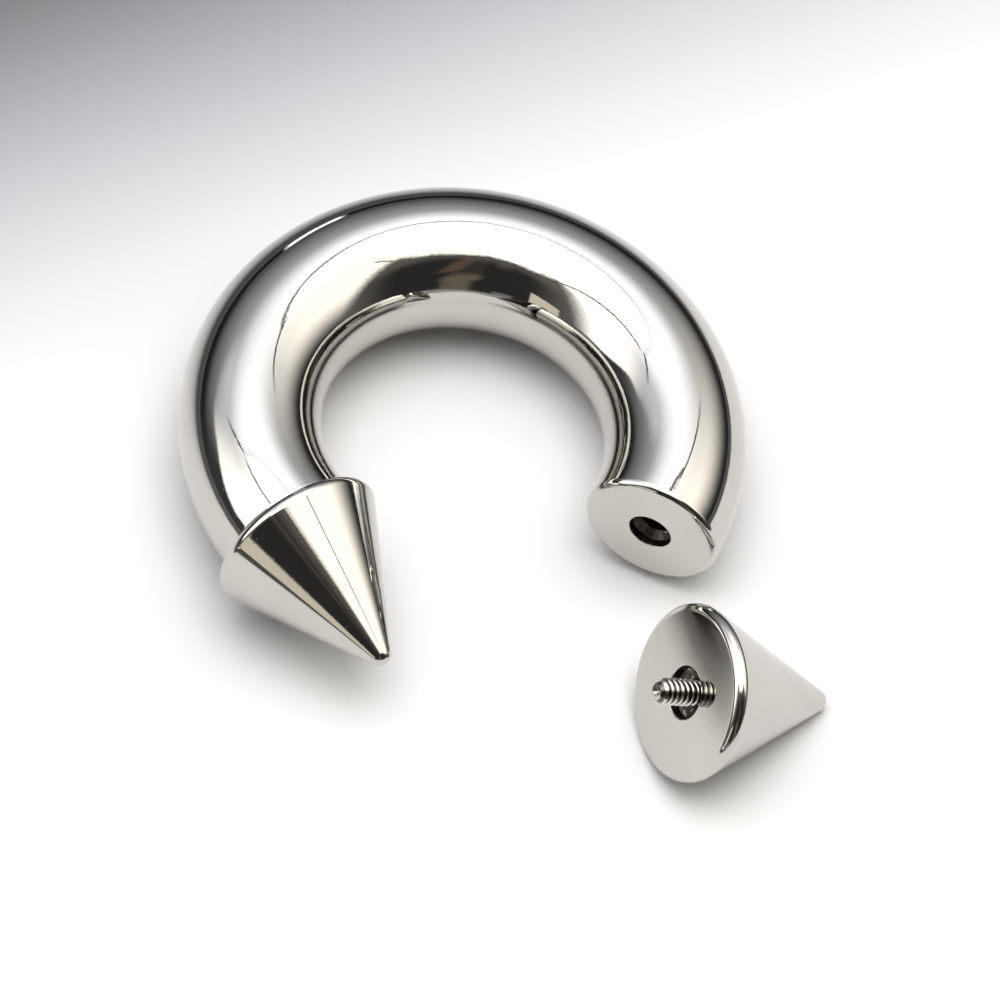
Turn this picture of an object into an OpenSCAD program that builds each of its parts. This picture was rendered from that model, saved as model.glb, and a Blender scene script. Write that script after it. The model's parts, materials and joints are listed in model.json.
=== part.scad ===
/* [Bar] */
// Diameter of the bar
bar_d = 8; // [5:0.5:9]
// Inner diameter of the bend
inner_d = 16; // [12:0.5:30]
// Angle that the bend runs through
bend_angle = 236; // [200:1:245]
// Straight length at each end of the bar
straight_end = 1.2; // [0.8:0.1:3]
// Radius of the rounded edge of each end face
face_edge_r = 0.3; // [0.1:0.05:0.6]

/* [Hole in each end] */
// Outer diameter of the thread
thread_d = 1.6; // [1.2:0.1:2]
// Pitch of the thread
thread_pitch = 0.35; // [0.25:0.05:0.45]
// Diameter of the wide mouth of the hole
mouth_d = 2.5; // [2.3:0.1:3]
// Depth of the straight part of the mouth
mouth_depth = 0.5; // [0.2:0.1:1]
// Length of threaded hole that is left beyond the end of a stud
spare_depth = 1.6; // [1:0.1:3]

/* [Cones] */
// Diameter of a cone at its base
cone_d = 10; // [9:0.5:12]
// Length of a cone from its base to its tip
cone_length = 9.7; // [8:0.1:15]
// Radius of the rounded edge of the base
cone_edge_r = 0.5; // [0.2:0.05:0.8]
// Radius of the blunt tip
cone_tip_r = 0.7; // [0.3:0.05:1]
// Diameter of the recess round the stud
recess_d = 3; // [2.6:0.1:3.6]
// Depth of the straight part of the recess
recess_depth = 0.6; // [0.3:0.1:1]

/* [Studs] */
// Number of thread turns that stand out of a cone
stud_turns = 5.5; // [4:0.5:9]
// Length of the stud beyond the straight part of the recess
stud_grip = 3; // [2:0.1:4]
// Radius of the stud at its chamfered tip
stud_tip_r = 0.42; // [0.3:0.02:0.5]

/* [Fits] */
// Gap between the attached cone and the bar
seat_gap = 0.02; // [0.01:0.01:0.1]
// Gap all round a stud in the hole of the bar
running_gap = 0.05; // [0.02:0.01:0.1]
// Gap all round a stud in its cone, and past its inner end
press_gap = 0.02; // [0.01:0.01:0.05]

/* [Loose cone] */
// Clear space in front of the open end of the bar, up to the loose cone
loose_gap = 1.4; // [0.5:0.1:10]
// How far to the right of the open end the loose cone's base lies
loose_aside = 1.5; // [-2:0.1:10]
// Direction that the loose cone points in, from the right towards the back
loose_heading = 12; // [-20:1:30]

/* [Hidden] */
$fn = 96;

bar_r = bar_d / 2;
ring_r = inner_d / 2 + bar_r;
cone_r = cone_d / 2;
recess_r = recess_d / 2;
mouth_r = mouth_d / 2;
thread_r = thread_d / 2;
hole_r = thread_r + running_gap;
grip_r = thread_r + press_gap;
stud_reach = stud_turns * thread_pitch;
hole_depth = stud_reach + spare_depth;

// Circles that round a cone's edge and its tip, and the half angle of the side between them
edge_centre_r = cone_r - cone_edge_r;
tip_height = cone_length - cone_tip_r;
edge_to_tip = tip_height - cone_edge_r;
half_angle = acos((cone_tip_r - cone_edge_r) / norm([edge_centre_r, edge_to_tip]))
    - atan2(edge_to_tip, edge_centre_r);

// A straight end starts inside the bend and is a hair wider, so that no two faces coincide
end_lap = 0.3;
end_step = 0.01;

// Centre of an end face and the way it faces, side 1 on the right and -1 on the left
end_angle = bend_angle / 2;
function end_heading(side) = [side * cos(end_angle), -sin(end_angle)];
function end_centre(side) =
    ring_r * [side * sin(end_angle), cos(end_angle)] + straight_end * end_heading(side);

// Volume and place of each piece of the bend with its cone, which give the centre of mass
bend_radians = bend_angle * PI / 180;
bar_area = PI * bar_r ^ 2;
cone_base = end_centre(-1) + seat_gap * end_heading(-1);
masses = [
    [bar_area * ring_r * bend_radians, [0, 2 * ring_r * sin(end_angle) / bend_radians]],
    [bar_area * straight_end, end_centre(1) - straight_end / 2 * end_heading(1)],
    [bar_area * straight_end, end_centre(-1) - straight_end / 2 * end_heading(-1)],
    [PI * cone_r ^ 2 * cone_length / 3, cone_base + cone_length / 4 * end_heading(-1)]
];
function sum_of(list, i = 0) = i == len(list) - 1 ? list[i] : list[i] + sum_of(list, i + 1);
mass_centre = sum_of([for (m = masses) m[0] * m[1]]) / sum_of([for (m = masses) m[0]]);

// The bend rests on its cone's edge and on a heel at the back, in line with the centre of mass
rim_spot = cone_base + cone_edge_r * end_heading(-1);
rim_to_mass = (mass_centre - rim_spot) / norm(mass_centre - rim_spot);
rim_along = rim_spot * rim_to_mass;
rim_to_heel = -rim_along + sqrt(rim_along ^ 2 + ring_r ^ 2 - rim_spot * rim_spot);
heel_way = (rim_spot + rim_to_heel * rim_to_mass) / ring_r;
lean = asin(max(0, cone_r - bar_r) / (ring_r - rim_spot * heel_way));
ring_height = bar_r + ring_r * sin(lean);

// The loose cone lies on its side, which dips its axis by the half angle
loose_spot = end_centre(1) + [loose_aside, -(bar_r + loose_gap + cone_r)];
loose_height = cone_edge_r + edge_centre_r * cos(half_angle);
loose_way = cos(half_angle) * [cos(loose_heading), sin(loose_heading)];

// Reach of the whole object each way, which puts the origin under its middle
left_reach = -bar_r - ring_r * sqrt(1 - (heel_way[0] * sin(lean)) ^ 2);
back_reach = bar_r + ring_r * sqrt(1 - (heel_way[1] * sin(lean)) ^ 2);
right_reach = loose_spot[0] + edge_to_tip * loose_way[0] + cone_tip_r;
front_reach = loose_spot[1] - edge_centre_r * sqrt(1 - loose_way[1] ^ 2) - cone_edge_r;
middle = [left_reach + right_reach, front_reach + back_reach] / 2;

// Thread form over one pitch: share of the pitch, share of the thread's depth
thread_form = [
    [0.00, 0],
    [0.25, 0],
    [0.55, 1],
    [0.70, 1]
];
thread_sides = 24;
thread_depth = 0.6 * thread_pitch;

// Lays the bend with its cone on the ground
module laid_bend() {
    translate([-middle[0], -middle[1], ring_height])
        rotate(a = lean, v = [-heel_way[1], heel_way[0], 0])
            children();
}

// Stands a shape on an end face of the bar, its Z axis out of the face
module on_end(side) {
    rotate([0, 0, -side * end_angle])
        translate([side * straight_end, ring_r, 0])
            rotate([0, side * 90, 0])
                children();
}

// Seats a shape that stands on a cone's base on the left end of the bar
module seated() {
    laid_bend()
        on_end(-1)
            translate([0, 0, seat_gap])
                children();
}

// Lays a shape that stands on a cone's base on the ground, on the cone's side
module laid_loose() {
    translate([loose_spot[0] - middle[0], loose_spot[1] - middle[1], loose_height])
        rotate([0, 90 + half_angle, loose_heading])
            translate([0, 0, -cone_edge_r])
                children();
}

// A straight end of the bar with its rounded edge, its face at height 0
module bar_end() {
    end_r = bar_r + end_step;
    edge_centre = [end_r - face_edge_r, -face_edge_r];
    rotate_extrude() {
        translate([0, -straight_end - end_lap])
            square([end_r, straight_end + end_lap - face_edge_r]);
        translate([0, -face_edge_r])
            square([edge_centre[0], face_edge_r]);
        intersection() {
            translate(edge_centre)
                circle(r = face_edge_r);
            translate(edge_centre)
                square(face_edge_r);
        }
    }
}

// The hole in an end of the bar, with its wide mouth at height 0 and a drilled point below
module end_hole() {
    mouth_taper = mouth_r - hole_r;
    point = hole_r * tan(30);
    past = 1;
    translate([0, 0, -hole_depth])
        cylinder(r = hole_r, h = hole_depth + past);
    translate([0, 0, -hole_depth - point])
        cylinder(r1 = 0, r2 = hole_r, h = point);
    translate([0, 0, -mouth_depth - mouth_taper])
        cylinder(r1 = hole_r, r2 = mouth_r, h = mouth_taper);
    translate([0, 0, -mouth_depth])
        cylinder(r = mouth_r, h = mouth_depth + past);
}

// A cone standing on its base, with a rounded edge, a blunt tip and the stud's hole
module spike() {
    side_way = [cos(half_angle), sin(half_angle)];
    edge_centre = [edge_centre_r, cone_edge_r];
    tip_centre = [0, tip_height];
    past = 1;
    difference() {
        rotate_extrude() {
            polygon([
                [0, 0],
                [edge_centre_r, 0],
                edge_centre,
                edge_centre + cone_edge_r * side_way,
                tip_centre + cone_tip_r * side_way,
                tip_centre
            ]);
            translate(edge_centre)
                circle(r = cone_edge_r);
            intersection() {
                translate(tip_centre)
                    circle(r = cone_tip_r);
                translate(tip_centre)
                    square(cone_tip_r);
            }
        }
        translate([0, 0, -past])
            cylinder(r = recess_r, h = past + recess_depth);
        translate([0, 0, recess_depth])
            cylinder(r1 = recess_r, r2 = grip_r, h = (recess_r - grip_r) / 2);
        translate([0, 0, -past])
            cylinder(r = grip_r, h = past + recess_depth + stud_grip + press_gap);
    }
}

// A threaded stud in a cone that stands on its base: a thread form swept down a helix
module stud() {
    length = stud_reach + recess_depth + stud_grip;
    core_r = thread_r - thread_depth;
    rows = len(thread_form);
    last = floor(thread_sides * (length / thread_pitch - thread_form[rows - 1][0]));
    function spot(i, j) =
        let (
            z = thread_pitch * (i / thread_sides + thread_form[j][0]),
            r = min(core_r + thread_depth * thread_form[j][1], stud_tip_r + length - z),
            turn = 360 * i / thread_sides
        )
        [r * cos(turn), r * sin(turn), z];
    // Number of the point in row j at step i, a row past the form being the next turn's first
    function at(i, j) = j < rows ? i * rows + j : (i + thread_sides) * rows;
    inner_end = (last + 1) * rows;
    outer_end = inner_end + 1;
    points = concat(
        [for (i = [0:last], j = [0:rows - 1]) spot(i, j)],
        [[0, 0, 0], [0, 0, length]]
    );
    sides = [
        for (j = [0:rows - 1], i = [0:last - 1 - (j < rows - 1 ? 0 : thread_sides)])
            each [
                [at(i, j), at(i, j + 1), at(i + 1, j + 1)],
                [at(i, j), at(i + 1, j + 1), at(i + 1, j)]
            ]
    ];
    inner_edge = concat(
        [for (i = [0:thread_sides]) at(i, 0)],
        [for (j = [rows - 1:-1:1]) at(0, j)]
    );
    outer_edge = concat(
        [for (i = [last:-1:last - thread_sides]) at(i, rows - 1)],
        [for (j = [0:rows - 2]) at(last, j)]
    );
    function fan(edge, tip) =
        [for (k = [0:len(edge) - 1]) [edge[k], edge[(k + 1) % len(edge)], tip]];
    translate([0, 0, recess_depth + stud_grip])
        rotate([180, 0, 0])
            polyhedron(points, concat(sides, fan(inner_edge, inner_end), fan(outer_edge, outer_end)));
}

// The bent bar with a threaded hole in each end
module horseshoe_bar() {
    color("silver")
        laid_bend()
            difference() {
                union() {
                    rotate([0, 0, 90 - end_angle])
                        rotate_extrude(angle = bend_angle)
                            translate([ring_r, 0])
                                circle(r = bar_r);
                    for (side = [-1, 1])
                        on_end(side)
                            bar_end();
                }
                for (side = [-1, 1])
                    on_end(side)
                        end_hole();
            }
}

// The cone that is screwed on to the left end
module fixed_cone() {
    color("gainsboro")
        seated()
            spike();
}

// The stud that the attached cone is screwed on with
module fixed_stud() {
    color("darkgray")
        seated()
            stud();
}

// The cone that is taken off and lies in front of the open end
module loose_cone() {
    color("gainsboro")
        laid_loose()
            spike();
}

// The stud of the loose cone, with its thread in view
module loose_stud() {
    color("darkgray")
        laid_loose()
            stud();
}

horseshoe_bar();
fixed_cone();
fixed_stud();
loose_cone();
loose_stud();
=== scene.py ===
"""The looks of a steel horseshoe barbell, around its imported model. Lengths are in metres."""
import json
from cmath import exp, phase
from math import acos, ceil, copysign, cos, pi, radians, sin, tan
from types import SimpleNamespace

import bpy
import numpy as np
from mathutils import Matrix, Vector


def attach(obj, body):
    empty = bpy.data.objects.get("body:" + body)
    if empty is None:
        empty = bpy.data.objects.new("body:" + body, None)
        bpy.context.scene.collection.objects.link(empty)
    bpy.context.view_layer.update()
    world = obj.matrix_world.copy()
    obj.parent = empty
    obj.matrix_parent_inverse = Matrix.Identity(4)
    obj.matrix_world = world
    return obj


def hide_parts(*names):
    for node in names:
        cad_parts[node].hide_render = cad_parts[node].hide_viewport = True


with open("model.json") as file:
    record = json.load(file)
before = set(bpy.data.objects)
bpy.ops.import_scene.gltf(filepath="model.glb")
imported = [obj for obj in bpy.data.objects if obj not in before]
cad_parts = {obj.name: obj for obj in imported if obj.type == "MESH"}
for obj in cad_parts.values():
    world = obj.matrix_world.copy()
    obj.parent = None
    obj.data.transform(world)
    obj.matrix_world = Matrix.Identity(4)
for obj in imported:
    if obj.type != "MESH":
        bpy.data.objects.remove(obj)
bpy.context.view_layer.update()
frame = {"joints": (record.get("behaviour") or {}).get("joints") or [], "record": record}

MM = 0.001
UP = Vector((0, 0, 1))

# The bar and the hole in each of its ends
BAR_R = 4 * MM
BEND_R = 12 * MM
END_ANGLE = radians(118)
STRAIGHT_END = 1.2 * MM
FACE_EDGE_R = 0.42 * MM
MOUTH_R = 1.25 * MM
MOUTH_DEPTH = 0.5 * MM
MOUTH_EDGE_R = 0.07 * MM
HOLE_R = 0.85 * MM
HOLE_DEPTH = 3.525 * MM
HOLE_EDGE_R = 0.03 * MM
DRILL_SLOPE = radians(30)

# The cones and the recess and bore in each base
CONE_R = 5 * MM
CONE_LENGTH = 9.7 * MM
CONE_EDGE_R = 0.5 * MM
CONE_TIP_R = 0.7 * MM
RECESS_R = 1.5 * MM
RECESS_DEPTH = 0.6 * MM
RECESS_EDGE_R = 0.08 * MM
BORE_R = 0.82 * MM
BORE_DEPTH = 3.62 * MM
SEAT_GAP = 0.02 * MM

# The threaded studs, which stand out of a cone's base and grip inside it
THREAD_R = 0.77 * MM
ROOT_R = 0.57 * MM
PITCH = 0.35 * MM
STUD_OUT = 1.925 * MM
STUD_GRIP = 3.6 * MM
STUD_TIP_R = 0.42 * MM
STUD_EDGE = 0.03 * MM
CUP_R = 0.3 * MM
CUP_DEPTH = 0.22 * MM

# Where a thread's flank starts and ends, from the middle of its crest and in shares of a pitch
FLANK_START = 0.075
FLANK_END = 0.375

# Fineness of the meshes
BAR_AROUND = 144
BEND_STEPS = 300
CONE_AROUND = 192
STUD_AROUND = 72
ROWS_PER_PITCH = 16
ARC_STEP = radians(9)

# The camera of the photograph, with its focal length and sensor in millimetres
VIEW_TARGET = Vector((0.573, 1.342, 0)) * MM
VIEW_DISTANCE = 0.6
VIEW_ELEVATION = radians(58.18)
VIEW_HEADING = radians(12.8)
VIEW_ROLL = radians(10.03)
FOCAL_LENGTH = 383.03
SENSOR = 36

# The floor, which is white near the object, with painted shade that turns it cold and then grey far behind
# and beside it, at a slant
FLOOR_HALF = 0.6
FLOOR_DROP = 0.01 * MM
FLOOR_SLANT = -0.365
FLOOR_WHITE = (0.643, 0.648, 0.66)
FLOOR_SHADE_COLD = (0.632, 0.645, 0.69)
FLOOR_SHADE_GREY = (0.034, 0.036, 0.039)

# The studio's colours, from the light box to the dark room in front of it
LEFT_WHITE = (2.12, 2.1, 2.02)
LEFT_DARK = (0.06, 0.06, 0.063)
RIGHT_WHITE = (2.06, 2.0, 1.82)
RIGHT_DARK = (0.03, 0.03, 0.032)
WALL_WHITE = (2.1, 2.13, 2.2)
WALL_DARK = (0.02, 0.0205, 0.0215)
OVERHEAD_WHITE = (6.1, 6.0, 5.85)
SEAM_GREY = (0.18, 0.175, 0.17)
ROOM_GREY = (0.165, 0.16, 0.15)
ROOM_DARK = (0.036, 0.035, 0.033)
TABLE_GREY = (0.55, 0.54, 0.51)
LAMP_YELLOW = (0.92, 0.86, 0.71)

# The steel; each scale is the number of a noise's features in a metre
STEEL_CLEAN = (0.568, 0.552, 0.524)
STEEL_HANDLED = (0.545, 0.53, 0.503)
# Painted shade in the holes and recesses: mottled dark brown steel, with bright flecks painted in as glints
BORE_SHADE_BROWN = (0.11, 0.096, 0.081)
BORE_SHADE_DARK = (0.05, 0.043, 0.037)
BORE_GLINT_FLECK = (0.45, 0.43, 0.4)
BORE_ROUGHNESS = 0.34
# Painted shade in the threads' roots, which are darker than their bright crests
THREAD_ROOT_SHADE = (0.13, 0.115, 0.1)
THREAD_BRIGHT = (0.66, 0.645, 0.61)
CLOUD_SCALE = 260.0
BORE_MOTTLE_SCALE = 4000.0
GLINT_FLECK_SCALE = 2200.0
WAVE_SCALE = 420.0
WAVE_DEPTH = 0.004 * MM
RIPPLE_SCALE = 2600.0
RIPPLE_DEPTH = 0.0012 * MM
SCRATCH_SCALE = 9000
SCRATCH_STRETCH = 100
SCRATCH_DEPTH = 0.0004 * MM
GRAIN_SCALE = 9000.0
GRAIN_DEPTH = 0.003 * MM


def mount(name):
    """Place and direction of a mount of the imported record."""
    found = next(m for m in frame["record"]["mounts"] if m["name"] == name)
    return Vector(found["pos_m"]), Vector(found["axis"])


def place(origin, way, across):
    """Matrix of a frame at origin, with its z axis along way and its y axis near across."""
    way = way.normalized()
    side = across.cross(way).normalized()
    matrix = Matrix((side, way.cross(side), way)).transposed().to_4x4()
    matrix.translation = origin
    return matrix


def ring_place():
    """Frame of the bend: at its centre, +Y to the middle of its back and +Z out of its plane."""
    back, along = mount("piercing")
    joint = next(j for j in frame["joints"] if j["name"] == "cone_unscrew")
    normal = (Vector(joint["pos_m"]) - back).cross(along).normalized()
    outward = normal.cross(along)
    return place(back - outward * BEND_R, normal, outward)


def seated_place(ring):
    """Frame of the seated cone: its base at height 0, against the left end, its tip along +Z."""
    outward = Vector((-sin(END_ANGLE), cos(END_ANGLE), 0))
    way = Vector((-cos(END_ANGLE), -sin(END_ANGLE), 0))
    base = outward * BEND_R + way * (STRAIGHT_END + SEAT_GAP)
    turned = ring.to_3x3()
    return place(ring @ base, turned @ way, turned @ outward)


def loose_place():
    """Frame of the loose cone: its base at height 0, its tip along +Z."""
    stud_middle, outward = mount("loose_stud_thread")
    return place(stud_middle - outward * STUD_OUT / 2, -outward, UP.cross(-outward))


def outline(corners):
    """Samples of a turned outline with its solid on the left, from corners (radius, z, fillet).

    Each sample is a point and the outward normal there, both as a complex number radius + i z.
    """
    points = [complex(radius, z) for radius, z, fillet in corners]
    runs = [(b - a) / abs(b - a) for a, b in zip(points, points[1:])]
    samples = [(points[0], -1j * runs[0])]
    for corner, run, run_on, sizes in zip(points[1:], runs, runs[1:], corners[1:]):
        turn = phase(run_on / run)
        bend = copysign(sizes[2], turn)
        centre = corner - run * sizes[2] * tan(abs(turn) / 2) + 1j * run * bend
        steps = ceil(abs(turn) / ARC_STEP)
        for step in range(steps + 1):
            normal = -1j * run * exp(1j * turn * step / steps)
            samples.append((centre + normal * bend, normal))
    samples.append((points[-1], -1j * runs[-1]))
    return np.array(samples)


def spokes(outward, up, around):
    """Unit vectors all round, from outward towards up; both are one vector for each ring."""
    turn = np.linspace(0, 2 * pi, around, endpoint=False)[:, None]
    return np.cos(turn) * outward[:, None] + np.sin(turn) * up[:, None]


def rings(samples, centre, out, way):
    """Points and normals of the rings that samples make round centre, with spokes out."""
    radius, normal = samples[:, 0].real[:, None, None], samples[:, 1][:, None, None]
    way = way[:, None]
    return centre[:, None] + radius * out, normal.real * out + normal.imag * way


def put(name, data):
    """A new object in the scene."""
    piece = bpy.data.objects.new(name, data)
    bpy.context.scene.collection.objects.link(piece)
    return piece


def in_one_list(rows):
    """The rows of a skin one after the other, with one value each for the first and the last."""
    return np.concatenate([rows[0, :1], rows[1:-1].reshape(-1, 3), rows[-1, :1]]).tolist()


def skin(name, points, normals):
    """A closed mesh from rings of points, the first and last rings each being one point."""
    count, around = points.shape[:2]
    index = 1 + np.arange((count - 2) * around).reshape(count - 2, around)
    beside = np.roll(index, -1, axis=1)
    last = index[-1, -1] + 1
    quads = np.stack([index[:-1], beside[:-1], beside[1:], index[1:]], axis=-1).reshape(-1, 4)
    first_fan = np.stack([0 * index[0], beside[0], index[0]], axis=-1)
    last_fan = np.stack([index[-1], beside[-1], last + 0 * index[-1]], axis=-1)
    faces = first_fan.tolist() + quads.tolist() + last_fan.tolist()
    mesh = bpy.data.meshes.new(name)
    mesh.from_pydata(in_one_list(points), [], faces)
    mesh.shade_smooth()
    mesh.normals_split_custom_set_from_vertices(in_one_list(normals))
    return put(name, mesh)


def mark(piece, name, rows):
    """Writes a value for each point of a skin, from a value for each ring or for each of its points."""
    rows = np.asarray(rows, float)
    inner = rows[1:-1].reshape(len(rows) - 2, -1)
    around = (len(piece.data.vertices) - 2) // len(inner)
    inner = np.broadcast_to(inner, (len(inner), around))
    values = np.concatenate([rows[0].ravel()[:1], inner.ravel(), rows[-1].ravel()[:1]])
    piece.data.attributes.new(name, "FLOAT", "POINT").data.foreach_set("value", values)


def turned_skin(name, samples, where, around):
    """A turned piece, whose samples are in the frame where."""
    axes = np.array(where.to_3x3()).T[:, None]
    way = np.repeat(axes[2], len(samples), axis=0)
    centre = np.array(where.translation) + samples[:, 0].imag[:, None] * way
    out = spokes(axes[0], axes[1], around)
    return skin(name, *rings(samples, centre, out, way))


def bent_bar(ring):
    """The bar as one skin, from the bottom of the left hole to the bottom of the right one."""
    taper = MOUTH_R - HOLE_R
    right = outline([
        (BAR_R, -STRAIGHT_END, 0),
        (BAR_R, 0, FACE_EDGE_R),
        (MOUTH_R, 0, MOUTH_EDGE_R),
        (MOUTH_R, -MOUTH_DEPTH, HOLE_EDGE_R),
        (HOLE_R, -MOUTH_DEPTH - taper, HOLE_EDGE_R),
        (HOLE_R, -HOLE_DEPTH, HOLE_EDGE_R),
        (0, -HOLE_DEPTH - HOLE_R * tan(DRILL_SLOPE), 0),
    ])
    half_bend = BEND_R * END_ANGLE
    right[:, 0] += 1j * (half_bend + STRAIGHT_END)
    along = np.linspace(-half_bend, half_bend, BEND_STEPS + 1)[1:-1]
    bend = np.stack([BAR_R + 1j * along, 1 + 0j * along], axis=-1)
    samples = np.concatenate([right[::-1].conj(), bend, right])
    along = samples[:, 0].imag
    angle = np.clip(along / BEND_R, -END_ANGLE, END_ANGLE)
    x_axis, y_axis, z_axis = np.array(ring.to_3x3()).T[:, None]
    sine, cosine = np.sin(angle)[:, None], np.cos(angle)[:, None]
    outward = sine * x_axis + cosine * y_axis
    way = cosine * x_axis - sine * y_axis
    past = (along - angle * BEND_R)[:, None]
    centre = np.array(ring.translation) + outward * BEND_R + way * past
    up = np.repeat(z_axis, len(samples), axis=0)
    piece = skin("bent_bar", *rings(samples, centre, spokes(outward, up, BAR_AROUND), way))
    depth = half_bend + STRAIGHT_END - np.abs(samples[:, 0].imag)
    # The bore mark is where the steel takes painted shade and painted glints
    mark(piece, "bore", (samples[:, 0].real < MOUTH_R + MOUTH_EDGE_R) & (depth > MOUTH_EDGE_R / 2))
    return piece


def spike(name, where):
    """A cone with the recess and bore for its stud, its edge and its tip rounded."""
    edge_centre = complex(CONE_R - CONE_EDGE_R, CONE_EDGE_R)
    across = complex(0, CONE_LENGTH - CONE_TIP_R) - edge_centre
    half_angle = acos((CONE_TIP_R - CONE_EDGE_R) / abs(across)) - phase(complex(-across.real, across.imag))
    base_corner = edge_centre.real + CONE_EDGE_R * tan((pi / 2 + half_angle) / 2)
    tip_corner = CONE_TIP_R * tan((pi / 2 - half_angle) / 2)
    taper = (RECESS_R - BORE_R) / 2
    samples = outline([
        (0, BORE_DEPTH, 0),
        (BORE_R, BORE_DEPTH, HOLE_EDGE_R),
        (BORE_R, RECESS_DEPTH + taper, HOLE_EDGE_R),
        (RECESS_R, RECESS_DEPTH, HOLE_EDGE_R),
        (RECESS_R, 0, RECESS_EDGE_R),
        (base_corner, 0, CONE_EDGE_R),
        (tip_corner, CONE_LENGTH, CONE_TIP_R),
        (0, CONE_LENGTH, 0),
    ])
    # The tip's fillet ends in the middle, where the last sample is too
    samples = samples[:-1]
    piece = turned_skin(name, samples, where, CONE_AROUND)
    radius, height = samples[:, 0].real, samples[:, 0].imag
    in_recess = (radius < RECESS_R + RECESS_EDGE_R) & (height > RECESS_EDGE_R / 2)
    # The bore mark is where the steel takes painted shade and painted glints
    mark(piece, "bore", in_recess & (height < CONE_LENGTH / 2))
    return piece


def flat_end(edge, way):
    """Rings that close a stud flat, from inside its edge to the middle, and their normals."""
    middle = edge.mean(axis=0)
    rim = middle + (edge - middle) * (1 - STUD_EDGE / abs(edge[0] - middle).max())
    return np.stack([rim, 0 * rim + middle]), np.broadcast_to(way, (2, *rim.shape))


def cup_end(edge, way, out):
    """Rings that close a stud with the hollow cone of a cup point, and their normals."""
    middle = edge.mean(axis=0)
    slope = (-out * CUP_DEPTH + way * CUP_R) / abs(complex(CUP_DEPTH, CUP_R))
    points, normals = [], []
    for radius, depth, normal in (
            (STUD_TIP_R - STUD_EDGE, 0, way + 0 * out), (CUP_R + STUD_EDGE, 0, way + 0 * out),
            (CUP_R, STUD_EDGE / 3, slope), (STUD_EDGE, CUP_DEPTH, slope), (0, CUP_DEPTH, way + 0 * out)):
        points.append(middle + out * radius - way * depth)
        normals.append(normal)
    return np.stack(points), np.stack(normals)


def stud(name, where):
    """A threaded stud: a right-hand thread with rounded crests and roots and a chamfered tip."""
    length = STUD_OUT + STUD_GRIP
    rows = round(length / PITCH * ROWS_PER_PITCH)
    z = np.linspace(STUD_GRIP, -STUD_OUT, rows + 1)[:, None]
    turn = np.linspace(0, 2 * pi, STUD_AROUND, endpoint=False)
    share = ((STUD_GRIP - z) / PITCH + turn / (2 * pi)) % 1
    crest_middle = 1 - FLANK_END
    off_crest = np.abs((share - crest_middle + 0.5) % 1 - 0.5)
    height = np.clip((FLANK_END - off_crest) / (FLANK_END - FLANK_START), 0, 1)
    # Half straight and half a smooth step, so that worn crests and roots run into the flanks
    height = (height + height ** 2 * (3 - 2 * height)) / 2
    radius = np.minimum(ROOT_R + (THREAD_R - ROOT_R) * height, STUD_TIP_R + STUD_OUT + z)
    axes = np.array(where.to_3x3()).T
    out = spokes(axes[:1], axes[1:2], STUD_AROUND)
    points = np.array(where.translation) + radius[..., None] * out + z[..., None] * axes[2]
    around = np.roll(points, -1, axis=1) - np.roll(points, 1, axis=1)
    normals = np.cross(np.gradient(points, axis=0), around)
    normals /= np.linalg.norm(normals, axis=-1, keepdims=True)
    inner, outer = flat_end(points[0], axes[2]), cup_end(points[-1], -axes[2], out[0])
    points = np.concatenate([inner[0][::-1], points, outer[0]])
    normals = np.concatenate([inner[1][::-1], normals, outer[1]])
    # The rows run down the z axis, so each is reversed, which makes the faces look outwards
    piece = skin(name, points[:, ::-1], normals[:, ::-1])
    heights = [height[[0] * len(inner[0])], height, height[[-1] * len(outer[0])]]
    mark(piece, "crest", np.concatenate(heights)[:, ::-1])
    return piece


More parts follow.
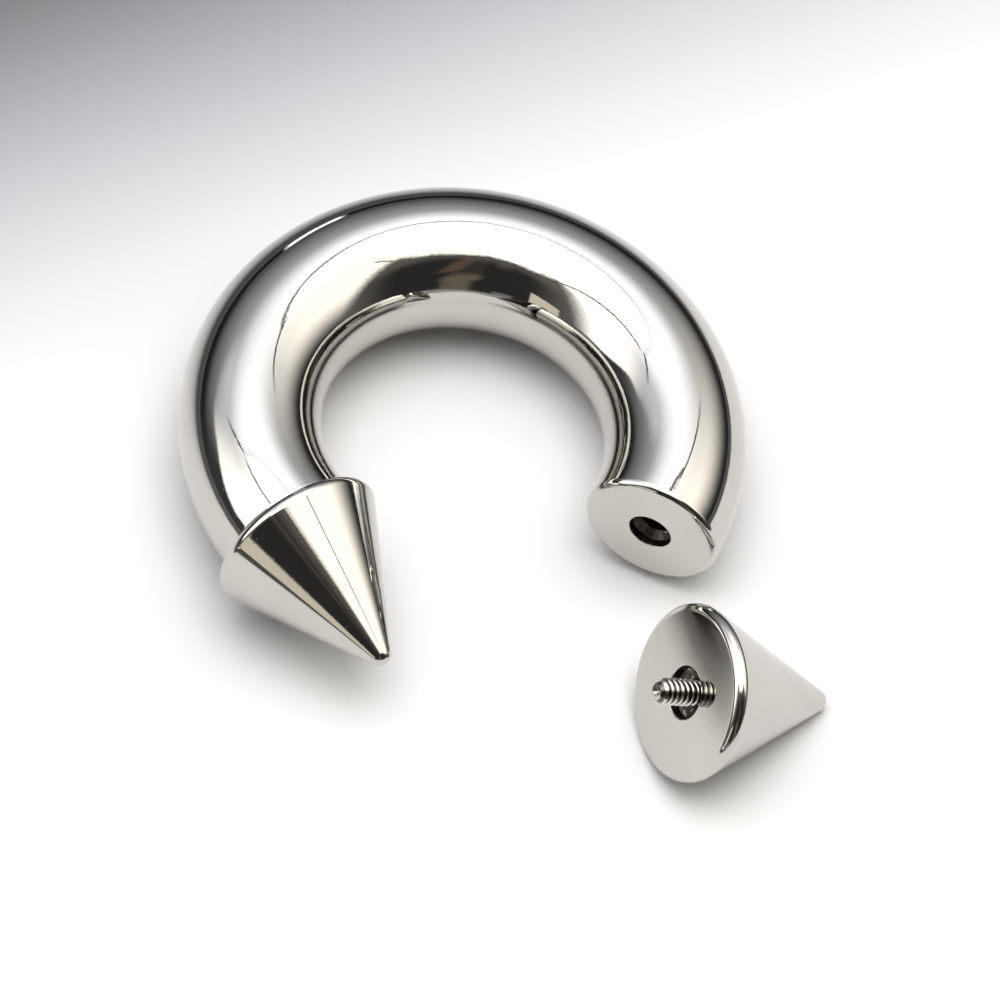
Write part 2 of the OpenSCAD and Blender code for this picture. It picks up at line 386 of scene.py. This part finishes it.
class Nodes:
    """Adds shader nodes to a tree. Each value is a number, a colour of three or another's output."""

    def __init__(self, tree):
        self.tree = tree
        tree.nodes.clear()

    def add(self, kind, inputs=(), **settings):
        """A node of a kind, with values for its inputs, by their names or numbers."""
        node = self.tree.nodes.new(kind)
        for key, value in settings.items():
            setattr(node, key, value)
        for key, value in dict(inputs).items():
            socket = node.inputs[key]
            if isinstance(value, bpy.types.NodeSocket):
                self.tree.links.new(value, socket)
            elif socket.type == "RGBA":
                socket.default_value = (*value, 1)
            else:
                socket.default_value = value
        return node

    def math(self, operation, *values):
        """The result of one operation."""
        return self.add("ShaderNodeMath", enumerate(values), operation=operation).outputs[0]

    def total(self, first, *others):
        """All values added."""
        for other in others:
            first = self.math("ADD", first, other)
        return first

    def product(self, first, *others):
        """All values multiplied."""
        for other in others:
            first = self.math("MULTIPLY", first, other)
        return first

    def angle(self, across, along):
        """How far a direction turns from the axis along towards the one across, in degrees."""
        return self.math("DEGREES", self.math("ARCTAN2", across, along))

    def ramp(self, value, low, high, start=0.0, end=1.0):
        """A smooth step of value, from start at low to end at high."""
        inputs = {"Value": value, "From Min": low, "From Max": high, "To Min": start, "To Max": end}
        node = self.add("ShaderNodeMapRange", inputs, interpolation_type="SMOOTHSTEP")
        return node.outputs["Result"]

    def band(self, value, low, high, soft):
        """1 where value is between low and high and 0 outside, with edges as wide as soft."""
        half = soft / 2
        rise = self.ramp(value, low - half, low + half)
        return self.product(rise, self.ramp(value, high - half, high + half, 1, 0))

    def mix(self, factor, first, second):
        """A colour between two, the second one where factor is 1."""
        inputs = {0: factor, 6: first, 7: second}
        return self.add("ShaderNodeMix", inputs, data_type="RGBA").outputs[2]

    def noise(self, position, scale, detail, amount=1.0):
        """Clouds round zero, of features 1 / scale wide, that reach about half of amount each way."""
        inputs = {"Vector": position, "Scale": scale, "Detail": detail}
        cloud = self.add("ShaderNodeTexNoise", inputs).outputs["Fac"]
        return self.math("MULTIPLY_ADD", cloud, amount, -amount / 2)

    def bump(self, height, depth, **under):
        """Normals for a height of 0 to 1 that stands for depth, over the input Normal if given."""
        return self.add("ShaderNodeBump", {"Height": height, "Distance": depth, **under}).outputs[0]

    def surface(self, inputs):
        """Ends the tree of a material with a shader that has these inputs."""
        shader = self.add("ShaderNodeBsdfPrincipled", inputs)
        self.add("ShaderNodeOutputMaterial", {"Surface": shader.outputs[0]})


def sky_angles(nodes):
    """The direction looked in, in degrees: height, and angles from the front, the back and overhead."""
    direction = nodes.add("ShaderNodeTexCoord").outputs["Generated"]
    x, y, z = nodes.add("ShaderNodeSeparateXYZ", {0: direction}).outputs
    front = nodes.angle(x, nodes.math("MULTIPLY", y, -1))
    back = nodes.angle(x, y)
    return SimpleNamespace(
        direction=direction, x=x, front=front, back=back,
        height=nodes.math("DEGREES", nodes.math("ARCSINE", z)),
        off_front=nodes.math("ABSOLUTE", front),
        off_back=nodes.math("ABSOLUTE", back),
        to_right=nodes.angle(x, z),
        to_back=nodes.angle(y, z))


def light_box(nodes, sky):
    """White sides from just above the table, and a back wall that darkens downwards.

    The lower part of the back wall has a paler panel at its left, with a slanted edge.
    """
    height = sky.height
    left_edge = nodes.math("SUBTRACT", height, nodes.ramp(sky.off_back, 92, 62, 0, 12))
    left = nodes.mix(nodes.ramp(left_edge, 8, 12), LEFT_DARK, LEFT_WHITE)
    right = nodes.mix(nodes.ramp(height, 1.5, 39), RIGHT_DARK, RIGHT_WHITE)
    slanted = nodes.math("MULTIPLY_ADD", sky.back, -0.4, height)
    pale = nodes.total(
        nodes.ramp(height, 4, 18, 0, 0.1),
        nodes.ramp(height, 14, 38, 0, 0.15),
        nodes.ramp(height, 33, 60, 0, 0.75),
        nodes.product(
            nodes.ramp(slanted, 40.4, 49.4),
            nodes.ramp(height, 36, 44, 0.15, 0),
            nodes.ramp(sky.back, -34, -20, 1, 0)))
    wall = nodes.mix(pale, WALL_DARK, WALL_WHITE)
    left = nodes.mix(nodes.ramp(sky.off_back, 48, 78, 1, 0), left, wall)
    right = nodes.mix(nodes.ramp(sky.off_back, 22, 85, 1, 0), right, wall)
    walls = nodes.mix(nodes.ramp(sky.x, -0.1, 0.1), left, right)
    overhead = nodes.product(nodes.band(sky.to_right, -23, 22, 10), nodes.band(sky.to_back, -14, 21, 10))
    return nodes.mix(overhead, walls, OVERHEAD_WHITE)


def seams(nodes, sky, colour):
    """Thin dark seams between the panel overhead and its neighbours, and down the back corners."""
    height, to_right, to_back = sky.height, sky.to_right, sky.to_back
    wobble = nodes.noise(sky.direction, 28.0, 3.0, 1.6)
    left = nodes.total(nodes.math("MULTIPLY_ADD", to_back, 0.07, to_right), wobble)
    back = nodes.total(nodes.math("MULTIPLY_ADD", to_right, -0.05, to_back), wobble)
    # What the angle is measured across, the seam's middle, half its width, and how dark it is
    lines = (
        (left, -31, 0.8, nodes.ramp(nodes.math("ABSOLUTE", to_back), 24, 28, 1, 0)),
        (to_right, 30, 0.65, nodes.product(nodes.band(to_back, -20, -7, 3), 0.85)),
        (back, 29.2, 0.8, nodes.product(
            nodes.band(to_right, -31, 28.5, 1), nodes.ramp(to_right, -10, 18, 0.2, 0.9))),
        (sky.back, -49, 1.3, nodes.product(
            nodes.ramp(height, 36, 47), nodes.ramp(height, 50.5, 52, 1, 0))),
        (sky.back, 43.5, 1.3, nodes.product(
            nodes.ramp(height, 35, 47), nodes.ramp(height, 51.5, 53, 1, 0))),
    )
    for across, middle, half, share in lines:
        line = nodes.band(across, middle - half, middle + half, 0.7)
        colour = nodes.mix(nodes.product(line, share), colour, SEAM_GREY)
    return colour


def dark_front(nodes, sky, colour):
    """The dark room at the front, where the camera stands, with the table and a few shapes in it."""
    height = sky.height
    mirrored = nodes.math("MULTIPLY", sky.front, -1)
    ragged = nodes.noise(sky.direction, 30.0, 3.0, 5.0)
    right_edge = nodes.total(nodes.math("MULTIPLY_ADD", height, 0.33, sky.front), ragged)
    left_edge = nodes.total(nodes.math("MULTIPLY_ADD", height, 0.2, mirrored), ragged)
    top_edge = nodes.total(
        sky.to_back, ragged,
        nodes.ramp(sky.off_front, 36, 66, 0, -9),
        nodes.product(nodes.band(sky.front, 0, 28, 16), 1.8))
    opening = nodes.product(
        nodes.ramp(right_edge, 73, 87, 1, 0),
        nodes.ramp(left_edge, 67, 89, 1, 0),
        nodes.ramp(top_edge, -27.5, -23, 1, 0))

    off_middle = nodes.math("MAXIMUM", nodes.math("SUBTRACT", sky.front, 10), mirrored)
    room = nodes.mix(nodes.ramp(off_middle, 34, 66), ROOM_DARK, ROOM_GREY)
    front = nodes.total(sky.front, nodes.noise(sky.direction, 4.0, 2.0, 16.0))
    swing = nodes.math("MULTIPLY_ADD", nodes.ramp(height, 17, 30), 7.0, front)
    slant = nodes.math("MULTIPLY_ADD", nodes.math("SUBTRACT", height, 45), 0.45, front)
    # How much there is of a shape sideways and upwards, and its colour
    shapes = (
        (nodes.band(swing, 0, 17, 9), nodes.ramp(height, 26, 36, 1, 0.15), (0.19, 0.165, 0.13)),
        (nodes.band(slant, 6, 15, 5), nodes.band(height, 33, 60, 8), (0.16, 0.105, 0.08)),
        (nodes.band(front, -25, -17, 5), nodes.band(height, 49, 61, 5), (0.115, 0.08, 0.07)),
        (nodes.band(front, -28, -16, 4), nodes.band(height, 2, 8.5, 2), (0.2, 0.23, 0.25)),
        (1, nodes.ramp(sky.to_back, -40, -25, 0, 0.8), (0.2, 0.19, 0.175)),
        (nodes.ramp(sky.off_front, 25, 33, 1, 0), nodes.ramp(height, 0, 5.5, 1, 0), TABLE_GREY),
    )
    for sideways, upwards, tint in shapes:
        room = nodes.mix(nodes.product(sideways, upwards), room, tint)
    return nodes.mix(opening, colour, room)


def lights(nodes, sky, colour):
    """A lamp and a bright gap at the front left, and a window under a grey ledge at the back."""
    lamp_height = nodes.math("MULTIPLY_ADD", sky.front, -0.4, sky.height)
    patches = (
        ((sky.front, -57, -37.6, 1.4), (lamp_height, 23.8, 40.3, 2), LAMP_YELLOW),
        ((sky.front, -44.5, -38.5, 1.4), (sky.height, 1, 10, 1.2), LAMP_YELLOW),
        ((sky.front, -62, -45.5, 2), (sky.height, 0.4, 2, 0.8), (1.8, 1.8, 1.75)),
        ((sky.back, -25, 7, 6), (sky.height, 6.5, 10.5, 1.5), (0.13, 0.13, 0.13)),
        ((sky.back, -14.5, -5.5, 2), (sky.height, 0.5, 5.5, 1), (2.4, 2.4, 2.4)),
    )
    for sideways, upwards, tint in patches:
        colour = nodes.mix(nodes.product(nodes.band(*sideways), nodes.band(*upwards)), colour, tint)
    return colour


def studio_world():
    """The soft light box round the object, with the dark room in front of it."""
    world = bpy.data.worlds.new("studio")
    world.use_nodes = True
    world.cycles.sampling_method = "NONE"
    bpy.context.scene.world = world
    nodes = Nodes(world.node_tree)
    sky = sky_angles(nodes)
    colour = light_box(nodes, sky)
    for part in (seams, dark_front, lights):
        colour = part(nodes, sky, colour)
    background = nodes.add("ShaderNodeBackground", {"Color": colour, "Strength": 1})
    nodes.add("ShaderNodeOutputWorld", {"Surface": background.outputs[0]})


def new_material(name):
    """A material, the nodes of its tree and the position on the object, in metres."""
    material = bpy.data.materials.new(name)
    material.use_nodes = True
    nodes = Nodes(material.node_tree)
    return material, nodes, nodes.add("ShaderNodeTexCoord").outputs["Object"]


def floor():
    """A pale floor, with soft painted shade falling away to grey behind the object and far to its sides."""
    half = FLOOR_HALF
    corners = [(x, y, -FLOOR_DROP) for x, y in ((-half, -half), (half, -half), (half, half), (-half, half))]
    mesh = bpy.data.meshes.new("floor")
    mesh.from_pydata(corners, [], [(0, 1, 2, 3)])
    piece = put("floor", mesh)
    material, nodes, position = new_material("pale_floor_painted_shade")
    x, y = nodes.add("ShaderNodeSeparateXYZ", {0: position}).outputs[:2]
    to_back = nodes.math("MULTIPLY_ADD", x, FLOOR_SLANT, y)
    # Painted shade: the colour falls from white through a cold tint to grey behind the object and far to
    # its sides
    behind = nodes.ramp(to_back, 11 * MM, 56.5 * MM, 1, 0)
    beside = nodes.ramp(nodes.math("ABSOLUTE", x), 52 * MM, 76 * MM, 1, 0)
    white = nodes.mix(nodes.ramp(to_back, 20 * MM, 36 * MM), FLOOR_WHITE, FLOOR_SHADE_COLD)
    colour = nodes.mix(nodes.product(behind, beside), FLOOR_SHADE_GREY, white)
    nodes.surface({"Base Color": colour, "Roughness": 0.7, "Specular IOR Level": 0.2})
    mesh.materials.append(material)


def scratches(nodes, position):
    """Fine straight handling scratches in three directions, 1 in each scratch and 0 beside it."""
    marks = 0
    scale = (SCRATCH_SCALE, SCRATCH_SCALE / SCRATCH_STRETCH, SCRATCH_SCALE)
    for heading, tilt in ((0.4, 0.9), (1.9, 2.3), (2.8, 0.2)):
        inputs = {"Vector": position, "Rotation": (tilt, heading, 0), "Scale": scale}
        turned = nodes.add("ShaderNodeMapping", inputs).outputs[0]
        marks = nodes.math("MAXIMUM", marks, nodes.ramp(nodes.noise(turned, 1.0, 1.0), 0.2, 0.28))
    return marks


def polished_steel(name, waviness):
    """Mirror-polished steel: waves left by the polishing, fine scratches, and rough bores whose dark brown
    colour is painted shade, with bright flecks painted in as glints.
    """
    material, nodes, position = new_material(name)
    bore = nodes.add("ShaderNodeAttribute", attribute_name="bore").outputs["Fac"]
    cloud = nodes.noise(position, CLOUD_SCALE, 4.0)
    marks = scratches(nodes, position)
    bright = nodes.mix(nodes.ramp(cloud, -0.15, 0.2), STEEL_CLEAN, STEEL_HANDLED)
    # Painted shade for the bores, mottled dark brown, with bright flecks painted in as glints
    bore_mottle = nodes.ramp(nodes.noise(position, BORE_MOTTLE_SCALE, 3.0), -0.1, 0.15)
    glint_flecks = nodes.ramp(nodes.noise(position, GLINT_FLECK_SCALE, 1.0), 0.17, 0.21)
    bore_shade_and_glints = nodes.mix(glint_flecks, nodes.mix(bore_mottle, BORE_SHADE_BROWN, BORE_SHADE_DARK), BORE_GLINT_FLECK)
    smooth = nodes.math("MULTIPLY_ADD", marks, 0.06, nodes.ramp(cloud, -0.2, 0.25, 0.02, 0.045))
    waves = nodes.bump(nodes.noise(position, WAVE_SCALE, 2.0), WAVE_DEPTH * waviness)
    ripple = nodes.bump(nodes.noise(position, RIPPLE_SCALE, 2.0), RIPPLE_DEPTH * waviness, Normal=waves)
    nodes.surface({
        "Base Color": nodes.mix(bore, bright, bore_shade_and_glints),
        "Metallic": 1.0,
        "Roughness": nodes.math("MULTIPLY_ADD", bore, BORE_ROUGHNESS, smooth),
        "Normal": nodes.bump(nodes.math("MULTIPLY", marks, -1), SCRATCH_DEPTH, Normal=ripple)})
    return material


def machined_steel():
    """Turned steel: bright crests over roots darkened with painted shade, with the fine grain that the tool
    left.
    """
    material, nodes, position = new_material("machined_steel")
    crest = nodes.add("ShaderNodeAttribute", attribute_name="crest").outputs["Fac"]
    inputs = {"Vector": position, "Scale": GRAIN_SCALE, "Detail": 3.0}
    grain = nodes.add("ShaderNodeTexNoise", inputs).outputs["Fac"]
    # Painted shade: the thread darkens from its crests to its roots, broken up by the grain
    lit_crest = nodes.ramp(nodes.math("MULTIPLY_ADD", grain, 0.3, crest), 0.35, 1.0)
    nodes.surface({
        "Base Color": nodes.mix(lit_crest, THREAD_ROOT_SHADE, THREAD_BRIGHT),
        "Metallic": 1.0,
        "Roughness": nodes.math("MULTIPLY_ADD", lit_crest, -0.12, 0.22),
        "Normal": nodes.bump(grain, GRAIN_DEPTH)})
    return material


def camera():
    """The camera of the photograph, turned and rolled as it was held."""
    data = bpy.data.cameras.new("camera")
    data.sensor_width = SENSOR
    data.lens = FOCAL_LENGTH
    piece = put("camera", data)
    aim = Matrix.Rotation(-VIEW_HEADING, 4, "Z") @ Matrix.Rotation(pi / 2 - VIEW_ELEVATION, 4, "X")
    aim = aim @ Matrix.Rotation(VIEW_ROLL, 4, "Z")
    piece.matrix_world = Matrix.Translation(VIEW_TARGET + aim.to_3x3() @ UP * VIEW_DISTANCE) @ aim
    bpy.context.scene.camera = piece


def dress(piece, node, body, material):
    """Puts a piece in the place of a node of the model, on the node's body."""
    piece.data.materials.append(material)
    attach(piece, body)
    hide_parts(node)


def main():
    """Builds and dresses the five pieces, and sets up the studio round them."""
    ring = ring_place()
    seated = seated_place(ring)
    loose = loose_place()
    bar_steel = polished_steel("bar_steel", 1.0)
    cone_steel = polished_steel("cone_steel", 0.35)
    machined = machined_steel()
    dress(bent_bar(ring), "horseshoe_bar", "horseshoe", bar_steel)
    dress(spike("seated_cone", seated), "fixed_cone", "screw_cone", cone_steel)
    dress(stud("seated_stud", seated), "fixed_stud", "screw_stud", machined)
    dress(spike("open_cone", loose), "loose_cone", "horseshoe", cone_steel)
    dress(stud("open_stud", loose), "loose_stud", "horseshoe", machined)
    studio_world()
    floor()
    camera()
    settings = bpy.context.scene.view_settings
    settings.view_transform = "Standard"
    settings.look = "None"


main()
